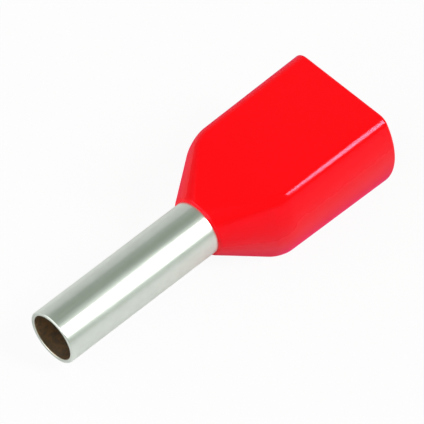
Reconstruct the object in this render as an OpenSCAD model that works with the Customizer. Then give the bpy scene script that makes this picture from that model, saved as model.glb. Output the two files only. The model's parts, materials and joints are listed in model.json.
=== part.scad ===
// Twin wire end ferrule: a thin tinned copper tube whose rear end is belled out inside a moulded
// collar. The collar is round where it grips the tube and opens into a wide, bowed mouth for two
// insulated wires side by side. Millimetres, +Z up. The part lies on the front rim of its tube and
// on the shoulder of its collar, and the origin is on that surface, midway along the part.

/* [Tube] */
// Outside diameter of the tube
tube_d = 2.4; // [2:0.05:2.5]
// Wall thickness of the tube
tube_wall = 0.175; // [0.14:0.005:0.22]
// Length of tube that stands out of the collar
pin_length = 7.8; // [6:0.1:14]
// Radius of the softened edges at the tip of the tube
tip_edge = 0.05; // [0.02:0.01:0.06]

/* [Bell mouth of the tube] */
// How far the tube runs straight into the collar before it bells out
grip_length = 0.1; // [0.05:0.05:0.15]
// Length of the bell mouth along the axis
bell_length = 1.3; // [0.9:0.05:1.5]
// How far the bell mouth opens beyond the tube, all round
bell_rise = 0.15; // [0.1:0.01:0.2]

/* [Collar] */
// Length of the collar along the axis
collar_length = 8.1; // [6.5:0.1:10]
// Length of the funnel, from the front edge to the shoulder
funnel_length = 2.25; // [2.25:0.05:3]
// How far the shoulder is rounded to each side of its corner
shoulder_blend = 0.5; // [0.3:0.05:0.8]
// Wall of the collar over the tube at its front edge
neck_wall = 0.12; // [0.1:0.01:0.2]
// Wall of the collar round the mouth
mouth_wall = 0.34; // [0.3:0.01:0.4]

/* [Mouth of the collar] */
// Outside width of the mouth, side to side
mouth_w = 6; // [5.4:0.05:7.5]
// Outside thickness of the mouth, top to bottom
mouth_t = 3.95; // [3.85:0.05:4.6]
// Radius of the bowed sides
side_curve = 3.5; // [2.8:0.1:6]
// Radius of the four long edges at the mouth
edge_curve = 0.4; // [0.25:0.05:0.6]
// Radius of the softened edges round the rim of the mouth
rim_edge = 0.14; // [0.05:0.01:0.15]
// Slope of every side toward the tube, in degrees
draft = 0.9; // [0:0.1:2]

/* [Hidden] */
$fn = 96;

tin = [0.80, 0.81, 0.77];
red = [0.94, 0.03, 0.04];

// Stretches along the axis, from the tip of the tube at 0
tube_r = tube_d / 2;
bell_start = pin_length + grip_length;
bell_end = bell_start + bell_length;
bell_r = tube_r + bell_rise;
bell_curve = (pow(bell_length, 2) + pow(bell_rise, 2)) / (2 * bell_rise);
bell_angle = asin(bell_length / bell_curve);
total_length = pin_length + collar_length;
neck_edge = 0.6 * neck_wall;
neck_r = tube_r + neck_wall;
neck_back = pin_length + neck_edge;
shoulder = pin_length + funnel_length;

// The funnel inside starts on a narrow ledge round the bell mouth and lags behind the one outside
ledge = 0.05;
throat_r = bell_r + ledge;
inner_shoulder = shoulder + 0.8 * mouth_wall;
inner_blend = 0.6 * shoulder_blend;
least_edge = 0.1;
past = 0.5;

// Where the round neck runs into the side, the long edge and the flat top of the collar
side_end = 62;
edge_end = 71;
side_steps = 6;
edge_steps = 4;
flat_steps = 3;
funnel_steps = 4;
blend_steps = 6;
arc_steps = 4;

neck_angles = concat(
    [for (i = [0 : side_steps]) side_end * i / side_steps],
    [for (i = [1 : edge_steps]) side_end + (edge_end - side_end) * i / edge_steps],
    [for (i = [1 : flat_steps]) edge_end + (90 - edge_end) * i / flat_steps]);

// How far the draft has brought the sides in at a place along the axis
function drawn_in(z) = (total_length - z) * tan(draft);

// A quarter of the round neck, from its side to its top
function round_quarter(r) = [for (a = neck_angles) r * [cos(a), sin(a)]];

// A quarter of the mouth's outline, brought in all round: bowed side, long edge, half the flat top
function mouth_quarter(inset) =
    let (h = mouth_t / 2 - inset, r = side_curve - inset, cx = mouth_w / 2 - side_curve,
         e = max(edge_curve - inset, least_edge),
         ex = cx + sqrt(pow(r - e, 2) - pow(h - e, 2)),
         turn = atan2(h - e, ex - cx))
    concat(
        [for (i = [0 : side_steps]) r * [cos(turn * i / side_steps), sin(turn * i / side_steps)] + [cx, 0]],
        [for (i = [1 : edge_steps]) let (a = turn + (90 - turn) * i / edge_steps)
            [ex, h - e] + e * [cos(a), sin(a)]],
        [for (i = [1 : flat_steps]) [ex * (1 - i / flat_steps), h]]);

// A quarter of the section that lies a share of the way from the neck to the mouth's outline
function funnel_quarter(r, inset, share) =
    (1 - share) * round_quarter(r) + share * mouth_quarter(inset);

// Place and share along a funnel that starts at z0, with its corner at z1 rounded by a curve
function funnel_path(z0, z1, blend) =
    let (za = z1 - blend, sa = (za - z0) / (z1 - z0), zb = z1 + blend)
    concat(
        [for (i = [0 : funnel_steps]) [z0 + (za - z0) * i / funnel_steps, sa * i / funnel_steps]],
        [for (i = [1 : blend_steps]) let (t = i / blend_steps, u = 1 - t)
            [u * u * za + 2 * u * t * z1 + t * t * zb, u * u * sa + 2 * u * t + t * t]]);

function backward(list) = [for (i = [len(list) - 1 : -1 : 0]) list[i]];

// Sections of the collar as [place, quarter outline]: up its outside, over the rim, down inside
outer_sections = concat(
    [for (i = [0 : arc_steps - 1]) let (a = 90 * i / arc_steps)
        [neck_back - neck_edge * cos(a), round_quarter(neck_r - neck_edge * (1 - sin(a)))]],
    [for (p = funnel_path(neck_back, shoulder, shoulder_blend))
        [p[0], funnel_quarter(neck_r, drawn_in(p[0]), p[1])]],
    [for (i = [0 : arc_steps]) let (a = 90 * i / arc_steps, z = total_length - rim_edge * (1 - sin(a)))
        [z, mouth_quarter(drawn_in(z) + rim_edge * (1 - cos(a)))]]);

inner_sections = concat(
    [for (i = [0 : arc_steps]) let (a = 90 * i / arc_steps, z = total_length - rim_edge * (1 - cos(a)))
        [z, mouth_quarter(drawn_in(z) + mouth_wall - rim_edge * (1 - sin(a)))]],
    [for (p = backward(funnel_path(bell_end, inner_shoulder, inner_blend)))
        [p[0], funnel_quarter(throat_r, drawn_in(p[0]) + mouth_wall, p[1])]]);

// Full turn of points from a quarter that runs from the side to the top
function full_ring(section) =
    let (q = section[1], m = len(q) - 1)
    [for (k = [0 : 4 * m - 1])
        let (turn = floor(k / m), i = k % m, p = (turn % 2 == 0) ? q[i] : q[m - i])
        [(turn == 0 || turn == 3) ? p[0] : -p[0], (turn < 2) ? p[1] : -p[1], section[0]]];

// How the part lies: tilted until the tip of the tube and the shoulder both touch the surface
rest_tilt = atan(max([for (s = outer_sections) (s[1][len(s[1]) - 1][1] - tube_r) / (s[0] - tip_edge)]));
nose_x = tip_edge * (cos(rest_tilt) - 1) - (tube_r - tip_edge) * sin(rest_tilt);
tail_x = max([for (s = outer_sections)
    s[0] * cos(rest_tilt) + s[1][len(s[1]) - 1][1] * sin(rest_tilt)]);
floor_z = tip_edge * (sin(rest_tilt) - 1) - (tube_r - tip_edge) * cos(rest_tilt);

// Lays down what was modelled upright, its tip at the origin, its width along X
module laid() {
    translate([-(nose_x + tail_x) / 2, 0, -floor_z])
        rotate([0, -rest_tilt, 0]) rotate([90, 0, 90]) children();
}

// Outline of the bell mouth's outside or, brought in by the wall, of its inside
function bell_line(inset) = [for (i = [0 : arc_steps]) let (a = bell_angle * i / arc_steps)
    [tube_r - inset + bell_curve * (1 - cos(a)), bell_start + bell_curve * sin(a)]];

// Outline of the softened tip, from the bore over the front to the outside
tip_line = concat(
    [for (i = [0 : arc_steps]) let (a = 90 * i / arc_steps)
        [tube_r - tube_wall + tip_edge * (1 - cos(a)), tip_edge * (1 - sin(a))]],
    [for (i = [0 : arc_steps]) let (a = 90 * i / arc_steps)
        [tube_r - tip_edge * (1 - sin(a)), tip_edge * (1 - cos(a))]]);

// Skin over a row of rings with the same number of points, closed by a cap at each end
module skin(rings) {
    n = len(rings[0]);
    polyhedron(
        points = [for (ring = rings) each ring],
        faces = concat(
            [[for (j = [0 : n - 1]) j]],
            [for (i = [0 : len(rings) - 2], j = [0 : n - 1])
                let (k = (j + 1) % n, a = i * n + j, b = a + n, c = (i + 1) * n + k, d = i * n + k)
                each [[a, b, c], [a, c, d]]],
            [[for (j = [n - 1 : -1 : 0]) (len(rings) - 1) * n + j]]));
}

// Straight barrel with a softened tip, belled out at the rear, its wall the same all along
module conductor_tube() {
    color(tin) laid() rotate_extrude()
        polygon(concat(tip_line, bell_line(0), backward(bell_line(tube_wall))));
}

// Moulded shell with a wall all round, its neck bored for the tube and seated to its bell mouth
module insulating_collar() {
    color(red) laid() difference() {
        skin([for (s = concat(outer_sections, inner_sections)) full_ring(s)]);
        rotate_extrude() polygon(concat(
            [[0, pin_length - past], [tube_r, pin_length - past]],
            bell_line(0),
            [[bell_r, bell_end + past], [0, bell_end + past]]));
    }
}

conductor_tube();
insulating_collar();
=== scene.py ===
"""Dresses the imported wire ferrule: a tinned copper tube belled out in a red twin collar.

Every size is in metres and in the row frame. The tube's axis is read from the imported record's
mounts, and the mouth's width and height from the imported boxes, so the dressed pieces lie where
the solids lie. Each piece is drawn along the axis first, the tip of the tube at the origin and
the collar's width along Y, and is then laid down with the part.
"""

import json
import logging
import math
from dataclasses import dataclass, field
from enum import Enum
from typing import Callable

import bmesh
import bpy
from mathutils import Matrix, Quaternion, Vector


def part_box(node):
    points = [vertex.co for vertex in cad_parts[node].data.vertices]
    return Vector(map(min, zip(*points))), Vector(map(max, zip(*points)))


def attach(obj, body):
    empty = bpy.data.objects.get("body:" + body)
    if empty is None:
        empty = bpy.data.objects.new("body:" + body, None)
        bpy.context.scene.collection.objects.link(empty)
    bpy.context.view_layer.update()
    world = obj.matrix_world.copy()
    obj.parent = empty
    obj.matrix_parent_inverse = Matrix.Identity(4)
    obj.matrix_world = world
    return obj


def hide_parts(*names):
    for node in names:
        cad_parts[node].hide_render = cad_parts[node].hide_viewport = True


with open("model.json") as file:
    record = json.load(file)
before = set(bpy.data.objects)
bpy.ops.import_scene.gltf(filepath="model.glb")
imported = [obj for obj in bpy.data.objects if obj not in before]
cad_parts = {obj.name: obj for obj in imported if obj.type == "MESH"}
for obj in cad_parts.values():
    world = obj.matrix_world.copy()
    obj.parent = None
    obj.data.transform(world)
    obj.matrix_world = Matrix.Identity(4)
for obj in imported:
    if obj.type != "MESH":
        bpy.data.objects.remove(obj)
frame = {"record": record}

LOG = logging.getLogger("wire_ferrule")
MM = 0.001
BODY = "root"
TINY = 1e-8
PLACE_SLACK = 2e-6
SEAM_SLACK = PLACE_SLACK / 10


class Node(Enum):
    """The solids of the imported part."""

    TUBE = "conductor_tube"
    COLLAR = "insulating_collar"


class Slot(Enum):
    """The record's material slots."""

    TIN = "tinned_copper"
    PLASTIC = "red_plastic"


class Along(Enum):
    """Directions that a drawn outline is turned about."""

    TUBE = (1.0, 0.0, 0.0)
    WIDTH = (0.0, 1.0, 0.0)


@dataclass(frozen=True)
class Lie:
    """How the part lies: where its tip is, and which way the tube runs from there."""

    tip: Vector
    along: Vector

    @classmethod
    def read(cls, record: dict, tip_edge: float) -> "Lie":
        """Finds the tip and the axis from the pin mount on the tube's outside.

        Args:
            record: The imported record.
            tip_edge: How far the pin's straight wall starts behind the tip.

        Returns:
            The lie of the part in the row frame.
        """
        barrel = next(m for m in record["mounts"] if m["name"] == "barrel")
        outward = Vector(barrel["axis"]).normalized()
        half = barrel["dims"]["length_mm"] * MM / 2
        return cls(tip=Vector(barrel["pos_m"]) + outward * (half + tip_edge), along=-outward)

    def matrix(self) -> Matrix:
        """Turns and moves what was drawn along X from the origin to where the part lies."""
        side = Vector((0.0, 1.0, 0.0))
        up = self.along.cross(side)
        turn = Matrix((self.along, side, up)).transposed().to_4x4()
        return Matrix.Translation(self.tip) @ turn


@dataclass(frozen=True)
class MouthPlace:
    """Where the collar's mouth is: its place along the axis and half its width and height."""

    end: float
    half_width: float
    half_height: float

    @classmethod
    def read(cls, lie: Lie, rim_edge: float, draft: float) -> "MouthPlace":
        """Finds the mouth from the collar's packed box, which its rounded rim touches all round.

        Args:
            lie: How the part lies.
            rim_edge: The radius of the softened rim.
            draft: The slope of the collar's sides.

        Returns:
            The place of the mouth.
        """
        low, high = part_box(Node.COLLAR.value)
        back = high[0] - lie.tip.x - rim_edge
        rise = high[2] - lie.tip.z - rim_edge
        tilt = math.atan2(lie.along.z, lie.along.x)
        across = math.cos(2 * tilt)
        short = rim_edge * math.tan(draft)
        return cls(
            end=(back * math.cos(tilt) - rise * math.sin(tilt)) / across + rim_edge,
            half_width=(high[1] - low[1]) / 2 + short,
            half_height=(rise * math.cos(tilt) - back * math.sin(tilt)) / across + rim_edge + short,
        )


def deselect_everything() -> None:
    """Leaves object mode with nothing selected and nothing active."""
    if bpy.context.object is not None and bpy.context.object.mode != "OBJECT":
        bpy.ops.object.mode_set(mode="OBJECT")
    bpy.ops.object.select_all(action="DESELECT")
    bpy.context.view_layer.objects.active = None


class Bench:
    """One mesh that is drawn point by point and shaped in edit mode."""

    def __init__(self, name: str) -> None:
        """Starts an empty piece.

        Args:
            name: The piece's name.
        """
        deselect_everything()
        bpy.ops.mesh.primitive_plane_add(size=MM)
        self.piece = bpy.context.object
        self.piece.name = name
        bpy.ops.object.mode_set(mode="EDIT")
        bpy.ops.mesh.select_all(action="SELECT")
        bpy.ops.mesh.delete(type="VERT")

    def start(self, place: tuple[float, float, float]) -> None:
        """Sets down one point, from which a line is drawn.

        Args:
            place: Where the point is.
        """
        bpy.ops.mesh.select_all(action="DESELECT")
        bpy.ops.mesh.primitive_plane_add(size=MM, location=place)
        bpy.ops.mesh.merge(type="CENTER")

    def run(self, by: tuple[float, float, float], steps: int = 1) -> None:
        """Draws on straight from the selected point.

        Args:
            by: How far the line runs in all.
            steps: Into how many edges it is divided.
        """
        step = Vector(by) / steps
        for _ in range(steps):
            bpy.ops.mesh.extrude_region_move(TRANSFORM_OT_translate={"value": step})

    def turn(
        self, centre: tuple[float, float, float], axis: Along, angle: float, steps: int
    ) -> None:
        """Draws an arc on from what is selected, or turns a whole outline into a skin.

        Args:
            centre: A point on the axis of the turn.
            axis: The direction of that axis.
            angle: The angle by the right hand, which the operator turns the other way.
            steps: The number of edges in the arc.
        """
        bpy.ops.mesh.spin(steps=steps, angle=-angle, center=centre, axis=axis.value)

    def choose(self, wanted: Callable[[Vector], bool]) -> None:
        """Selects the points that lie in the wanted place, and the edges between them.

        Args:
            wanted: Says of a point's place whether it is wanted.
        """
        bpy.ops.mesh.select_mode(type="VERT")
        bpy.ops.mesh.select_all(action="DESELECT")
        mesh = bmesh.from_edit_mesh(self.piece.data)
        for point in mesh.verts:
            point.select_set(wanted(point.co))
        mesh.select_flush(True)
        bmesh.update_edit_mesh(self.piece.data)

    def choose_rings(self, *places: float) -> None:
        """Selects all that lies at some places along the axis.

        Args:
            places: The places along the axis.
        """
        self.choose(lambda at: any(abs(at.x - place) < PLACE_SLACK for place in places))

    def choose_rims(self, place: float, wanted: Callable[[Vector], bool]) -> None:
        """Selects the loops round a flat face across the axis.

        Args:
            place: Where the flat face is along the axis.
            wanted: Says of a point's place whether its loop is wanted.
        """
        self.choose_rings(place)
        bpy.ops.mesh.select_mode(type="FACE")
        bpy.ops.mesh.region_to_loop()
        mesh = bmesh.from_edit_mesh(self.piece.data)
        for edge in mesh.edges:
            if edge.select and not all(wanted(point.co) for point in edge.verts):
                edge.select_set(False)
        bmesh.update_edit_mesh(self.piece.data)

    def soften(self, width: float, steps: int) -> None:
        """Rounds the selected edges.

        Args:
            width: How far the rounding reaches to each side.
            steps: The number of faces across it.
        """
        bpy.ops.mesh.bevel(offset=width, segments=steps, profile=0.5, affect="EDGES")

    def close(self) -> None:
        """Merges doubles and turns every face outwards."""
        bpy.ops.mesh.select_mode(type="VERT")
        bpy.ops.mesh.select_all(action="SELECT")
        bpy.ops.mesh.remove_doubles(threshold=TINY)
        bpy.ops.mesh.normals_make_consistent(inside=False)
        bpy.ops.object.mode_set(mode="OBJECT")

    def lay_down(self, lie: Lie, crease: float) -> bpy.types.Object:
        """Smooths the finished piece and puts its place into its mesh.

        Args:
            lie: How the part lies.
            crease: The angle above which an edge stays sharp.

        Returns:
            The piece, its object unturned at the origin.
        """
        deselect_everything()
        self.piece.select_set(True)
        bpy.context.view_layer.objects.active = self.piece
        bpy.ops.object.shade_smooth_by_angle(angle=crease)
        self.piece.matrix_world = lie.matrix()
        bpy.ops.object.transform_apply(location=True, rotation=True, scale=True)
        return self.piece


class Graph:
    """A node tree under construction, with its nodes set out in columns."""

    COLUMN = 220.0
    ROW = 260.0

    def __init__(self, tree: bpy.types.NodeTree) -> None:
        """Takes a tree and empties it.

        Args:
            tree: The tree of a material, a world or a group.
        """
        self.tree = tree
        tree.nodes.clear()

    def add(self, kind: str, at: tuple[float, float], **settings: object) -> bpy.types.Node:
        """Adds one node.

        Args:
            kind: The node's type.
            at: Its column and row.
            settings: Properties of the node, by name.

        Returns:
            The node.
        """
        node = self.tree.nodes.new(kind)
        node.location = (at[0] * self.COLUMN, -at[1] * self.ROW)
        for name, value in settings.items():
            setattr(node, name, value)
        return node

    def set(self, node: bpy.types.Node, **values: object) -> bpy.types.Node:
        """Sets a node's input sockets, whose names are written with _ for a space.

        Args:
            node: The node.
            values: The values, by the sockets' names.

        Returns:
            The same node.
        """
        for name, value in values.items():
            node.inputs[name.replace("_", " ")].default_value = value
        return node

    def join(self, source: bpy.types.NodeSocket, target: bpy.types.NodeSocket) -> None:
        """Links one socket to another.

        Args:
            source: The output that is read.
            target: The input that it feeds.
        """
        self.tree.links.new(source, target)


class MottleGroup:
    """The shared effect of fine unevenness: a mask and a height from layered noise."""

    NAME = "fine_mottle"
    INPUTS = (("Scale", 1.0), ("Detail", 3.0), ("Low", 0.35), ("High", 0.65))
    ROUGHNESS = 0.55

    @classmethod
    def get(cls) -> bpy.types.NodeTree:
        """Builds the group once.

        Returns:
            The node group, with inputs Vector, Scale, Detail, Low and High.
        """
        ready = bpy.data.node_groups.get(cls.NAME)
        if ready is not None:
            return ready
        tree = bpy.data.node_groups.new(cls.NAME, "ShaderNodeTree")
        face = tree.interface
        face.new_socket("Vector", in_out="INPUT", socket_type="NodeSocketVector")
        for name, value in cls.INPUTS:
            socket = face.new_socket(name, in_out="INPUT", socket_type="NodeSocketFloat")
            socket.default_value = value
        for name in ("Mask", "Height"):
            face.new_socket(name, in_out="OUTPUT", socket_type="NodeSocketFloat")
        graph = Graph(tree)
        given = graph.add("NodeGroupInput", (0, 0))
        noise = graph.set(graph.add("ShaderNodeTexNoise", (1, 0)), Roughness=cls.ROUGHNESS)
        spread = graph.add("ShaderNodeMapRange", (2, 0), interpolation_type="SMOOTHSTEP")
        result = graph.add("NodeGroupOutput", (3, 0))
        graph.join(given.outputs["Vector"], noise.inputs["Vector"])
        graph.join(given.outputs["Scale"], noise.inputs["Scale"])
        graph.join(given.outputs["Detail"], noise.inputs["Detail"])
        graph.join(noise.outputs["Fac"], spread.inputs["Value"])
        graph.join(given.outputs["Low"], spread.inputs["From Min"])
        graph.join(given.outputs["High"], spread.inputs["From Max"])
        graph.join(spread.outputs["Result"], result.inputs["Mask"])
        graph.join(noise.outputs["Fac"], result.inputs["Height"])
        return tree


@dataclass(frozen=True)
class Relief:
    """How strongly a height shows in the surface, and how deep it is in metres."""

    strength: float
    depth: float


@dataclass(frozen=True)
class Finish:
    """What both finishes share: a name, and coordinates in millimetres along the tube."""

    name: str
    lie: Lie

    def canvas(self) -> tuple[bpy.types.Material, Graph, bpy.types.Node, bpy.types.Node]:
        """Starts a material.

        Returns:
            The material, its graph, its shader node and the node with the coordinates.
        """
        material = bpy.data.materials.new(self.name)
        material.use_nodes = True
        graph = Graph(material.node_tree)
        place = graph.add("ShaderNodeTexCoord", (-6, 0))
        ruler = graph.add("ShaderNodeMapping", (-5, 0), vector_type="TEXTURE")
        graph.set(
            ruler,
            Location=self.lie.tip,
            Rotation=self.lie.matrix().to_euler(),
            Scale=(MM, MM, MM),
        )
        shader = graph.add("ShaderNodeBsdfPrincipled", (3, 0))
        output = graph.add("ShaderNodeOutputMaterial", (4, 0))
        graph.join(place.outputs["Object"], ruler.inputs["Vector"])
        graph.join(shader.outputs["BSDF"], output.inputs["Surface"])
        return material, graph, shader, ruler

    def mottle(
        self, graph: Graph, at: tuple[float, float], source: bpy.types.NodeSocket, **values: float
    ) -> bpy.types.Node:
        """Places the shared mottle group with values of its own.

        Args:
            graph: The material's graph.
            at: The group's column and row.
            source: The coordinates it reads.
            values: The group's inputs, by name.

        Returns:
            The group's node.
        """
        node = graph.add("ShaderNodeGroup", at, node_tree=MottleGroup.get())
        graph.set(node, **values)
        graph.join(source, node.inputs["Vector"])
        return node

    def bump(
        self, graph: Graph, at: tuple[float, float], mottle: bpy.types.Node, relief: Relief
    ) -> bpy.types.Node:
        """Raises a mottle's height in the surface.

        Args:
            graph: The material's graph.
            at: The node's column and row.
            mottle: The mottle whose height is taken.
            relief: How strong and how deep it is.

        Returns:
            The bump's node.
        """
        node = graph.add("ShaderNodeBump", at)
        graph.set(node, Strength=relief.strength, Distance=relief.depth)
        graph.join(mottle.outputs["Height"], node.inputs["Height"])
        return node


@dataclass(frozen=True)
class TinnedCopper(Finish):
    """Satin tin, drawn lengthwise; inside the bore it is dull and copper-brown, and its colour is
    painted darker than the tin as shade in the hollow.
    """

    bore_radius: float
    collar_front: float
    tin_light: tuple[float, float, float, float] = (0.85, 0.89, 0.84, 1.0)
    tin_dark: tuple[float, float, float, float] = (0.82, 0.86, 0.81, 1.0)
    # The bore's colours are copper-brown, painted darker than the tin as shade inside the tube;
    # between the two the tone varies at random.
    shaded_bore_copper_light: tuple[float, float, float, float] = (0.60, 0.43, 0.27, 1.0)
    shaded_bore_copper_dark: tuple[float, float, float, float] = (0.40, 0.33, 0.26, 1.0)
    tin_roughness: tuple[float, float] = (0.30, 0.36)
    bore_roughness: float = 0.42
    fringe: float = 0.02
    fringe_full: float = 0.005
    throat_start: float = 0.3
    throat_full: float = 0.8
    grain_stretch: tuple[float, float, float] = (0.12, 9.0, 9.0)
    cloud_scale: float = 2.2
    speck_scale: float = 14.0
    stain_scale: float = 4.5
    drawn_relief: Relief = Relief(0.10, 0.00002)
    speck_relief: Relief = Relief(0.12, 0.00001)

    def copper_and_shade_mask(self, graph: Graph, ruler: bpy.types.Node) -> bpy.types.NodeSocket:
        """Marks the wall of the bore, and all that lies inside the collar, which take the copper
        colour with its painted shade.

        Args:
            graph: The material's graph.
            ruler: The node with the coordinates.

        Returns:
            A socket that is 1 inside and 0 on the outside of the tube.
        """
        flat = graph.add("ShaderNodeVectorMath", (-4, 3), operation="MULTIPLY")
        flat.inputs[1].default_value = (0.0, 1.0, 1.0)
        radius = graph.add("ShaderNodeVectorMath", (-3, 3), operation="LENGTH")
        in_bore = graph.add("ShaderNodeMapRange", (-2, 3))
        wall = self.bore_radius / MM
        graph.set(in_bore, From_Min=wall + self.fringe, From_Max=wall + self.fringe_full)
        split = graph.add("ShaderNodeSeparateXYZ", (-4, 4))
        deep = graph.add("ShaderNodeMapRange", (-2, 4))
        front = self.collar_front / MM
        graph.set(deep, From_Min=front + self.throat_start, From_Max=front + self.throat_full)
        either = graph.add("ShaderNodeMath", (-1, 3), operation="MAXIMUM")
        graph.join(ruler.outputs["Vector"], flat.inputs[0])
        graph.join(flat.outputs["Vector"], radius.inputs[0])
        graph.join(radius.outputs["Value"], in_bore.inputs["Value"])
        graph.join(ruler.outputs["Vector"], split.inputs["Vector"])
        graph.join(split.outputs["X"], deep.inputs["Value"])
        graph.join(in_bore.outputs["Result"], either.inputs[0])
        graph.join(deep.outputs["Result"], either.inputs[1])
        return either.outputs["Value"]

    def build(self) -> bpy.types.Material:
        """Makes the material.

        Returns:
            The finished material.
        """
        material, graph, shader, ruler = self.canvas()
        graph.set(shader, Metallic=1.0)
        # The bore's mask, where the copper colour and its painted shade replace the tin.
        inside = self.copper_and_shade_mask(graph, ruler)
        stretch = graph.add("ShaderNodeVectorMath", (-4, 1), operation="MULTIPLY")
        stretch.inputs[1].default_value = self.grain_stretch
        graph.join(ruler.outputs["Vector"], stretch.inputs[0])
        grain = self.mottle(graph, (-3, 1), stretch.outputs["Vector"], Scale=1.0, Detail=4.0)
        place = ruler.outputs["Vector"]
        cloud = self.mottle(graph, (-3, 0), place, Scale=self.cloud_scale, Detail=3.0)
        speck = self.mottle(
            graph, (-3, 2), place, Scale=self.speck_scale, Detail=4.0, Low=0.3, High=0.7
        )
        tin = graph.add("ShaderNodeMix", (-1, 0), data_type="RGBA")
        tin.inputs["A"].default_value = self.tin_light
        tin.inputs["B"].default_value = self.tin_dark
        graph.join(cloud.outputs["Mask"], tin.inputs["Factor"])
        stain = self.mottle(graph, (-3, 5), place, Scale=self.stain_scale, Detail=4.0)
        # The bore's copper-brown with painted shade, varied at random by the stain mottle.
        bore = graph.add("ShaderNodeMix", (-1, 1), data_type="RGBA")
        bore.inputs["A"].default_value = self.shaded_bore_copper_light
        bore.inputs["B"].default_value = self.shaded_bore_copper_dark
        graph.join(stain.outputs["Mask"], bore.inputs["Factor"])
        colour = graph.add("ShaderNodeMix", (1, 0), data_type="RGBA")
        graph.join(inside, colour.inputs["Factor"])
        graph.join(tin.outputs["Result"], colour.inputs["A"])
        graph.join(bore.outputs["Result"], colour.inputs["B"])
        graph.join(colour.outputs["Result"], shader.inputs["Base Color"])
        satin = graph.add("ShaderNodeMapRange", (-1, 2))
        graph.set(satin, To_Min=self.tin_roughness[0], To_Max=self.tin_roughness[1])
        graph.join(grain.outputs["Mask"], satin.inputs["Value"])
        dull = graph.add("ShaderNodeMix", (1, 1), data_type="FLOAT")
        dull.inputs["B"].default_value = self.bore_roughness
        graph.join(inside, dull.inputs["Factor"])
        graph.join(satin.outputs["Result"], dull.inputs["A"])
        graph.join(dull.outputs["Result"], shader.inputs["Roughness"])
        drawn = self.bump(graph, (1, 2), grain, self.drawn_relief)
        fine = self.bump(graph, (2, 2), speck, self.speck_relief)
        graph.join(drawn.outputs["Normal"], fine.inputs["Normal"])
        graph.join(fine.outputs["Normal"], shader.inputs["Normal"])
        return material


@dataclass(frozen=True)
class MouldedPlastic(Finish):
    """Glossy moulded polypropylene, its red and its gloss faintly uneven."""

    red_light: tuple[float, float, float, float] = (0.97, 0.001, 0.002, 1.0)
    red_dark: tuple[float, float, float, float] = (0.955, 0.001, 0.0015, 1.0)
    roughness: tuple[float, float] = (0.15, 0.19)
    edge_roughness: float = 0.7
    edge_start: float = 0.2
    ior: float = 1.34
    specular_tint: tuple[float, float, float, float] = (1.0, 0.6, 1.0, 1.0)
    sheen: float = 0.2
    sheen_tint: tuple[float, float, float, float] = (1.0, 0.1, 1.0, 1.0)
    sheen_roughness: float = 0.35
    flow_scale: float = 0.45
    skin_scale: float = 1.6
    pore_scale: float = 9.0
    wave_relief: Relief = Relief(0.03, 0.00006)
    pore_relief: Relief = Relief(0.08, 0.00001)

    def build(self) -> bpy.types.Material:
        """Makes the material.

        Returns:
            The finished material.
        """
        material, graph, shader, ruler = self.canvas()
        graph.set(shader, IOR=self.ior, Specular_Tint=self.specular_tint)
        graph.set(shader, Sheen_Weight=self.sheen, Sheen_Tint=self.sheen_tint)
        graph.set(shader, Sheen_Roughness=self.sheen_roughness)
        place = ruler.outputs["Vector"]
        flow = self.mottle(
            graph, (-3, 0), place, Scale=self.flow_scale, Detail=1.0, Low=0.2, High=0.8
        )
        skin = self.mottle(
            graph, (-3, 1), place, Scale=self.skin_scale, Detail=2.0, Low=0.2, High=0.8
        )
        pores = self.mottle(graph, (-3, 2), place, Scale=self.pore_scale, Detail=3.0)
        colour = graph.add("ShaderNodeMix", (-1, 0), data_type="RGBA")
        colour.inputs["A"].default_value = self.red_light
        colour.inputs["B"].default_value = self.red_dark
        graph.join(flow.outputs["Mask"], colour.inputs["Factor"])
        graph.join(colour.outputs["Result"], shader.inputs["Base Color"])
        gloss = graph.add("ShaderNodeMapRange", (-1, 1))
        graph.set(gloss, To_Min=self.roughness[0], To_Max=self.roughness[1])
        graph.join(skin.outputs["Mask"], gloss.inputs["Value"])
        facing = graph.set(graph.add("ShaderNodeLayerWeight", (-2, 3)), Blend=0.5)
        grazing = graph.add("ShaderNodeMapRange", (-1, 3), interpolation_type="SMOOTHSTEP")
        graph.set(grazing, From_Min=self.edge_start, From_Max=1.0)
        graph.join(facing.outputs["Facing"], grazing.inputs["Value"])
        dull = graph.add("ShaderNodeMix", (0, 1), data_type="FLOAT")
        dull.inputs["B"].default_value = self.edge_roughness
        graph.join(grazing.outputs["Result"], dull.inputs["Factor"])
        graph.join(gloss.outputs["Result"], dull.inputs["A"])
        graph.join(dull.outputs["Result"], shader.inputs["Roughness"])
        wave = self.bump(graph, (0, 2), skin, self.wave_relief)
        fine = self.bump(graph, (1, 2), pores, self.pore_relief)
        graph.join(wave.outputs["Normal"], fine.inputs["Normal"])
        graph.join(fine.outputs["Normal"], shader.inputs["Normal"])
        return material


def dress(piece: bpy.types.Object, material: bpy.types.Material, node: Node) -> None:
    """Gives a piece its finish, hides the solid that it replaces, and hangs it on the body it rides
    on.

    Args:
        piece: The finished piece.
        material: Its finish.
        node: The solid that it replaces.
    """
    piece.data.materials.clear()
    piece.data.materials.append(material)
    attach(piece, BODY)
    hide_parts(node.value)
    LOG.info("%s: %d faces, in %s", piece.name, len(piece.data.polygons), material.name)


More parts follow.
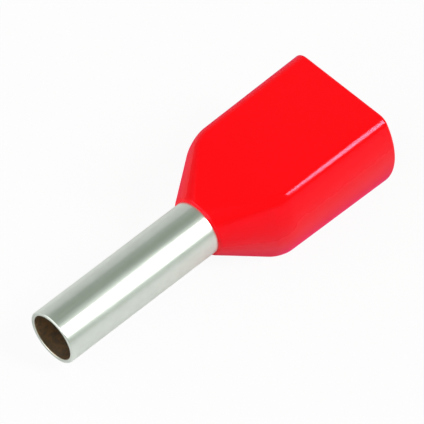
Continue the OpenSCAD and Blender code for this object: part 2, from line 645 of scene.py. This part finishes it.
@dataclass
class ConductorTube:
    """The drawn tube, softened at its tip and belled out at its rear end."""

    outer_radius: float
    bore_radius: float
    straight: float
    tip_edge: float = 0.05 * MM
    bell_length: float = 1.3 * MM
    bell_rise: float = 0.15 * MM
    edge_steps: int = 8
    bell_steps: int = 12
    round_steps: int = 256
    crease: float = math.radians(40)

    @property
    def bell_start(self) -> float:
        """Place along the axis where the bell mouth begins."""
        return self.tip_edge + self.straight

    @property
    def bell_curve(self) -> float:
        """Radius of the bell mouth's flare, seen from the side."""
        return (self.bell_length**2 + self.bell_rise**2) / (2 * self.bell_rise)

    @property
    def bell_angle(self) -> float:
        """Angle that the flare turns through."""
        return math.asin(self.bell_length / self.bell_curve)

    @property
    def bell_end(self) -> float:
        """Place of the rear end along the axis."""
        return self.bell_start + self.bell_length

    def flare(self, angle: float) -> tuple[float, float]:
        """Finds a point part of the way up the flare.

        Args:
            angle: How far the flare has turned there.

        Returns:
            The place along the axis, and the rise over the straight tube.
        """
        return (
            self.bell_start + self.bell_curve * math.sin(angle),
            self.bell_curve * (1 - math.cos(angle)),
        )

    def shape(self, lie: Lie) -> bpy.types.Object:
        """Draws the wall's outline from the rear end inside to the rear end outside, and spins it.

        Args:
            lie: How the part lies.

        Returns:
            The tube, laid down.
        """
        bench = Bench("drawn_tube")
        quarter = math.pi / 2
        edge, inner, outer = self.tip_edge, self.bore_radius, self.outer_radius
        bench.start((self.bell_end, 0, inner + self.bell_rise))
        flare_centre = (self.bell_start, 0, inner + self.bell_curve)
        bench.turn(flare_centre, Along.WIDTH, self.bell_angle, self.bell_steps)
        bench.run((-self.straight, 0, 0))
        bench.turn((edge, 0, inner + edge), Along.WIDTH, quarter, self.edge_steps)
        bench.run((0, 0, outer - inner - 2 * edge))
        bench.turn((edge, 0, outer - edge), Along.WIDTH, quarter, self.edge_steps)
        bench.run((self.straight, 0, 0))
        flare_centre = (self.bell_start, 0, outer + self.bell_curve)
        bench.turn(flare_centre, Along.WIDTH, -self.bell_angle, self.bell_steps)
        bench.choose_rings(self.bell_end)
        bpy.ops.mesh.edge_face_add()
        bpy.ops.mesh.select_all(action="SELECT")
        bench.turn((0, 0, 0), Along.TUBE, 2 * math.pi, self.round_steps)
        bench.close()
        return bench.lay_down(lie, self.crease)


@dataclass(frozen=True)
class Steps:
    """How many edges each part of a quarter section has, so that all sections match."""

    side: int = 40
    edge: int = 14
    flat: int = 14


@dataclass(frozen=True)
class RoundSection:
    """A quarter of a round section, divided where the twin section's parts meet."""

    radius: float
    side_end: float = math.radians(50)
    edge_end: float = math.radians(84)

    def draw(self, bench: Bench, place: float, steps: Steps) -> None:
        """Draws the quarter from its side to its top.

        Args:
            bench: Where it is drawn.
            place: Its place along the axis.
            steps: The number of edges in each part.
        """
        centre = (place, 0, 0)
        bench.start((place, self.radius, 0))
        bench.turn(centre, Along.TUBE, self.side_end, steps.side)
        bench.turn(centre, Along.TUBE, self.edge_end - self.side_end, steps.edge)
        bench.turn(centre, Along.TUBE, math.pi / 2 - self.edge_end, steps.flat)


@dataclass(frozen=True)
class TwinSection:
    """A quarter of the section for two wires: bowed side, rounded long edge, flat top."""

    half_width: float
    half_height: float
    side_curve: float = 3.5 * MM
    edge_curve: float = 0.55 * MM
    least_edge: float = 0.1 * MM

    def brought_in(self, inset: float) -> "TwinSection":
        """Makes the same section smaller all round.

        Args:
            inset: By how much.

        Returns:
            The smaller section.
        """
        return TwinSection(
            self.half_width - inset,
            self.half_height - inset,
            self.side_curve - inset,
            max(self.edge_curve - inset, self.least_edge),
        )

    def draw(self, bench: Bench, place: float, steps: Steps) -> None:
        """Draws the quarter from its side to its top.

        Args:
            bench: Where it is drawn.
            place: Its place along the axis.
            steps: The number of edges in each part.
        """
        side_y = self.half_width - self.side_curve
        edge_z = self.half_height - self.edge_curve
        reach = self.side_curve - self.edge_curve
        edge_y = side_y + math.sqrt(reach**2 - edge_z**2)
        side_end = math.atan2(edge_z, edge_y - side_y)
        bench.start((place, self.half_width, 0))
        bench.turn((place, side_y, 0), Along.TUBE, side_end, steps.side)
        bench.turn((place, edge_y, edge_z), Along.TUBE, math.pi / 2 - side_end, steps.edge)
        bench.run((0, -edge_y, 0), steps.flat)


@dataclass
class TwinCollar:
    """The moulded collar: round on the tube, opening through a funnel into a mouth for two wires."""

    tube: ConductorTube
    mouth: TwinSection
    front: float
    end: float
    funnel_length: float = 2.25 * MM
    neck_wall: float = 0.12 * MM
    neck_edge: float = 0.10 * MM
    mouth_wall: float = 0.34 * MM
    rim_edge: float = 0.14 * MM
    shoulder_blend: float = 0.5 * MM
    inner_blend: float = 0.3 * MM
    inner_lag: float = 0.8
    ledge: float = 0.05 * MM
    fit_gap: float = 0.003 * MM
    draft: float = math.radians(0.9)
    steps: Steps = field(default_factory=Steps)
    blend_steps: int = 10
    rim_steps: int = 8
    crease: float = math.radians(40)

    @classmethod
    def fitted(cls, tube: ConductorTube, lie: Lie, front: float) -> "TwinCollar":
        """Takes the mouth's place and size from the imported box.

        Args:
            tube: The tube that the collar grips.
            lie: How the part lies.
            front: Where the collar begins along the axis.

        Returns:
            The collar, with its sizes set.
        """
        place = MouthPlace.read(lie, cls.rim_edge, cls.draft)
        mouth = TwinSection(place.half_width, place.half_height)
        return cls(tube=tube, mouth=mouth, front=front, end=place.end)

    @property
    def shoulder(self) -> float:
        """Place of the shoulder along the axis."""
        return self.front + self.funnel_length

    @property
    def inner_shoulder(self) -> float:
        """Place of the shoulder inside, which lags behind by a share of the wall."""
        return self.shoulder + self.inner_lag * self.mouth_wall

    def drawn_in(self, place: float) -> float:
        """Finds how far the draft brings the sides in.

        Args:
            place: A place along the axis.

        Returns:
            The distance.
        """
        return (self.end - place) * math.tan(self.draft)

    def bridge(self, bench: Bench, first: float, second: float) -> None:
        """Skins the gap between two drawn sections.

        Args:
            bench: Where they are drawn.
            first: The place of one section along the axis.
            second: The place of the other.
        """
        bench.choose_rings(first, second)
        bpy.ops.mesh.bridge_edge_loops()

    def outer_shell(self) -> Bench:
        """Draws a quarter of the outside, from the neck over the shoulder to the mouth.

        Returns:
            The quarter, still in edit mode.
        """
        bench = Bench("twin_collar")
        shoulder = self.shoulder
        neck = RoundSection(self.tube.outer_radius + self.neck_wall)
        neck.draw(bench, self.front, self.steps)
        self.mouth.brought_in(self.drawn_in(shoulder)).draw(bench, shoulder, self.steps)
        self.bridge(bench, self.front, shoulder)
        self.mouth.draw(bench, self.end, self.steps)
        self.bridge(bench, shoulder, self.end)
        return bench

    def inner_shell(self) -> Bench:
        """Draws a quarter of the inside, from the ledge round the bell to the mouth.

        Returns:
            The quarter, still in edit mode.
        """
        bench = Bench("collar_inside")
        shoulder = self.inner_shoulder
        inset = self.drawn_in(shoulder) + self.mouth_wall
        throat = RoundSection(self.tube.outer_radius + self.tube.bell_rise + self.ledge)
        throat.draw(bench, self.tube.bell_end, self.steps)
        self.mouth.brought_in(inset).draw(bench, shoulder, self.steps)
        self.bridge(bench, self.tube.bell_end, shoulder)
        self.mouth.brought_in(self.mouth_wall).draw(bench, self.end, self.steps)
        self.bridge(bench, shoulder, self.end)
        return bench

    def seat(self) -> Bench:
        """Draws a quarter of the seat that grips the tube and its bell.

        Returns:
            The quarter, still in edit mode.
        """
        bench = Bench("collar_seat")
        fit = self.tube.outer_radius + self.fit_gap
        RoundSection(fit).draw(bench, self.front, self.steps)
        last = self.front
        for step in range(self.tube.bell_steps + 1):
            place, rise = self.tube.flare(self.tube.bell_angle * step / self.tube.bell_steps)
            RoundSection(fit + rise).draw(bench, place, self.steps)
            self.bridge(bench, last, place)
            last = place
        return bench

    def shape(self, lie: Lie) -> bpy.types.Object:
        """Joins the three shells, closes them at both ends, mirrors them and softens the edges.

        Args:
            lie: How the part lies.

        Returns:
            The collar, laid down.
        """
        shells = [self.outer_shell(), self.inner_shell(), self.seat()]
        deselect_everything()
        for shell in shells:
            shell.piece.select_set(True)
        bench = shells[0]
        bpy.context.view_layer.objects.active = bench.piece
        bpy.ops.object.join()
        bpy.ops.object.mode_set(mode="EDIT")
        for place in (self.front, self.tube.bell_end, self.end):
            self.bridge(bench, place, place)
        bpy.ops.object.mode_set(mode="OBJECT")
        mirror = bench.piece.modifiers.new("both_sides", "MIRROR")
        mirror.use_axis = (False, True, True)
        mirror.use_clip = True
        mirror.merge_threshold = SEAM_SLACK
        bpy.ops.object.modifier_apply(modifier=mirror.name)
        bpy.ops.object.mode_set(mode="EDIT")
        bpy.ops.mesh.select_all(action="SELECT")
        bpy.ops.mesh.normals_make_consistent(inside=False)
        bench.choose_rings(self.shoulder)
        bench.soften(self.shoulder_blend, self.blend_steps)
        bench.choose_rings(self.inner_shoulder)
        bench.soften(self.inner_blend, self.blend_steps)
        bench.choose_rims(self.end, lambda at: True)
        bench.soften(self.rim_edge, self.rim_steps)
        between = self.tube.outer_radius + self.neck_wall / 2
        bench.choose_rims(self.front, lambda at: math.hypot(at.y, at.z) > between)
        bench.soften(self.neck_edge, self.rim_steps)
        bench.close()
        return bench.lay_down(lie, self.crease)


@dataclass(frozen=True)
class Lamp:
    """A rectangular lamp that hangs at a distance from the part and faces it."""

    name: str
    turn: float
    rise: float
    size: tuple[float, float]
    glow: float
    away: float = 0.5

    def hang(self) -> None:
        """Hangs the lamp, whose face is as bright as its glow says, where 1 is white."""
        turn, rise = math.radians(self.turn), math.radians(self.rise)
        flat = math.cos(rise)
        way = Vector((flat * math.cos(turn), flat * math.sin(turn), math.sin(rise)))
        deselect_everything()
        bpy.ops.object.light_add(type="AREA", location=way * self.away)
        lamp = bpy.context.object
        lamp.name = self.name
        lamp.data.shape = "RECTANGLE"
        lamp.data.size, lamp.data.size_y = self.size
        lamp.data.energy = self.glow * math.pi * self.size[0] * self.size[1]
        lamp.rotation_euler = way.to_track_quat("Z", "Y").to_euler()


@dataclass(frozen=True)
class Studio:
    """A white floor that sweeps up behind the part, soft lamps and a plain grey room."""

    floor_size: float = 6.0
    white: tuple[float, float, float, float] = (0.65, 0.65, 0.65, 1.0)
    seen_glow: float = 0.94
    mirrored_glow: float = 0.2
    room: tuple[float, float, float, float] = (0.265, 0.305, 0.258, 1.0)
    softbox: Lamp = Lamp("softbox", -55.5, 42.0, (0.12, 0.23), 21.0)
    front: Lamp = Lamp("front_light", -170.0, 22.0, (0.12, 0.12), 12.0)
    left: Lamp = Lamp("left_light", 150.0, 33.0, (0.5, 0.4), 2.0)
    sweep_turn: float = 60.0
    sweep_away: float = 0.42
    sweep_width: float = 1.0
    sweep_bend: float = 0.08
    sweep_steps: int = 12
    sweep_height: float = 0.43

    def white_paper(self) -> bpy.types.Material:
        """Makes the white of the floor, which keeps the part's shadow.

        Returns:
            A material that is plain white paper to the part, and glows as white to the camera,
            to a mirror and to glass.
        """
        material = bpy.data.materials.new("white_paper")
        material.use_nodes = True
        graph = Graph(material.node_tree)
        path = graph.add("ShaderNodeLightPath", (-1, 0))
        seen = graph.add("ShaderNodeMath", (0, 0), operation="MULTIPLY")
        seen.inputs[1].default_value = self.seen_glow
        either = graph.add("ShaderNodeMath", (0, 1), operation="MAXIMUM")
        mirrored = graph.add("ShaderNodeMath", (1, 1), operation="MULTIPLY")
        mirrored.inputs[1].default_value = self.mirrored_glow
        share = graph.add("ShaderNodeMath", (2, 1), operation="MAXIMUM")
        paper = graph.set(graph.add("ShaderNodeBsdfDiffuse", (2, 2)), Color=self.white)
        glow = graph.set(graph.add("ShaderNodeEmission", (2, 3)), Strength=1.0)
        mix = graph.add("ShaderNodeMixShader", (3, 0))
        output = graph.add("ShaderNodeOutputMaterial", (4, 0))
        graph.join(path.outputs["Is Camera Ray"], seen.inputs[0])
        graph.join(path.outputs["Is Glossy Ray"], either.inputs[0])
        graph.join(path.outputs["Is Transmission Ray"], either.inputs[1])
        graph.join(either.outputs["Value"], mirrored.inputs[0])
        graph.join(seen.outputs["Value"], share.inputs[0])
        graph.join(mirrored.outputs["Value"], share.inputs[1])
        graph.join(share.outputs["Value"], mix.inputs["Fac"])
        graph.join(paper.outputs["BSDF"], mix.inputs[1])
        graph.join(glow.outputs["Emission"], mix.inputs[2])
        graph.join(mix.outputs["Shader"], output.inputs["Surface"])
        return material

    def lay_floor(self, paper: bpy.types.Material) -> None:
        """Lays the floor under the part.

        Args:
            paper: The floor's material.
        """
        deselect_everything()
        bpy.ops.mesh.primitive_plane_add(size=self.floor_size)
        floor = bpy.context.object
        floor.name = "floor"
        floor.data.materials.append(paper)

    def raise_sweep(self, paper: bpy.types.Material) -> None:
        """Raises a backdrop behind the part: the floor bends up into a low wall.

        Args:
            paper: The backdrop's material.
        """
        bench = Bench("sweep")
        half = self.sweep_width / 2
        bench.start((self.sweep_away, -half, 0))
        bench.run((0, self.sweep_width, 0))
        bpy.ops.mesh.select_all(action="SELECT")
        centre = (self.sweep_away, 0, self.sweep_bend)
        bench.turn(centre, Along.WIDTH, -math.pi / 2, self.sweep_steps)
        rise = Vector((0, 0, self.sweep_height - self.sweep_bend))
        bpy.ops.mesh.extrude_region_move(TRANSFORM_OT_translate={"value": rise})
        bench.close()
        bench.piece.rotation_euler.z = math.radians(self.sweep_turn)
        bench.piece.data.materials.append(paper)

    def light_room(self) -> None:
        """Gives the room its plain light."""
        world = bpy.data.worlds.new("plain_room")
        bpy.context.scene.world = world
        world.use_nodes = True
        graph = Graph(world.node_tree)
        plain = graph.add("ShaderNodeBackground", (0, 0))
        graph.set(plain, Strength=1.0, Color=self.room)
        output = graph.add("ShaderNodeOutputWorld", (1, 0))
        graph.join(plain.outputs["Background"], output.inputs["Surface"])

    def build(self) -> None:
        """Sets up the whole studio."""
        paper = self.white_paper()
        self.lay_floor(paper)
        self.raise_sweep(paper)
        self.light_room()
        for lamp in (self.softbox, self.front, self.left):
            lamp.hang()


@dataclass(frozen=True)
class Viewpoint:
    """A long lens that looks down at the part from its tip's side."""

    azimuth: float = -44.996
    elevation: float = 48.841
    roll: float = 1.929
    distance: float = 0.20394
    lens: float = 438.46
    aim: tuple[float, float, float] = (0.000481, -0.000133, 0.002250)
    near: float = 0.01
    far: float = 20.0

    def build(self) -> None:
        """Makes the camera."""
        turn, rise = math.radians(self.azimuth), math.radians(self.elevation)
        back = Vector(
            (
                math.sin(turn) * math.cos(rise),
                -math.cos(turn) * math.cos(rise),
                math.sin(rise),
            )
        )
        deselect_everything()
        bpy.ops.object.camera_add(location=Vector(self.aim) + back * self.distance)
        camera = bpy.context.object
        camera.rotation_mode = "QUATERNION"
        roll = Quaternion((0.0, 0.0, 1.0), math.radians(self.roll))
        camera.rotation_quaternion = back.to_track_quat("Z", "Y") @ roll
        camera.data.lens = self.lens
        camera.data.clip_start = self.near
        camera.data.clip_end = self.far
        bpy.context.scene.camera = camera


def main() -> None:
    """Builds the tube, the collar, the studio and the camera, in that order."""
    logging.basicConfig(level=logging.INFO, format="%(name)s: %(message)s")
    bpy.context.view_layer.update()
    record = frame["record"]
    mounts = {mount["name"]: mount["dims"] for mount in record["mounts"]}
    barrel, bore = mounts["barrel"], mounts["wire_bore"]
    tube = ConductorTube(
        outer_radius=barrel["r_mm"] * MM,
        bore_radius=bore["r_mm"] * MM,
        straight=bore["length_mm"] * MM,
    )
    lie = Lie.read(record, tube.tip_edge)
    front = tube.tip_edge + barrel["length_mm"] * MM
    collar = TwinCollar.fitted(tube, lie, front)
    tin = TinnedCopper("satin_tin_and_shaded_bore", lie, tube.bore_radius, collar.front)
    dress(tube.shape(lie), tin.build(), Node.TUBE)
    plastic = MouldedPlastic("moulded_red", lie)
    dress(collar.shape(lie), plastic.build(), Node.COLLAR)
    Studio().build()
    Viewpoint().build()
    bpy.context.scene.view_settings.view_transform = "Standard"


if __name__ == "__main__":
    main()
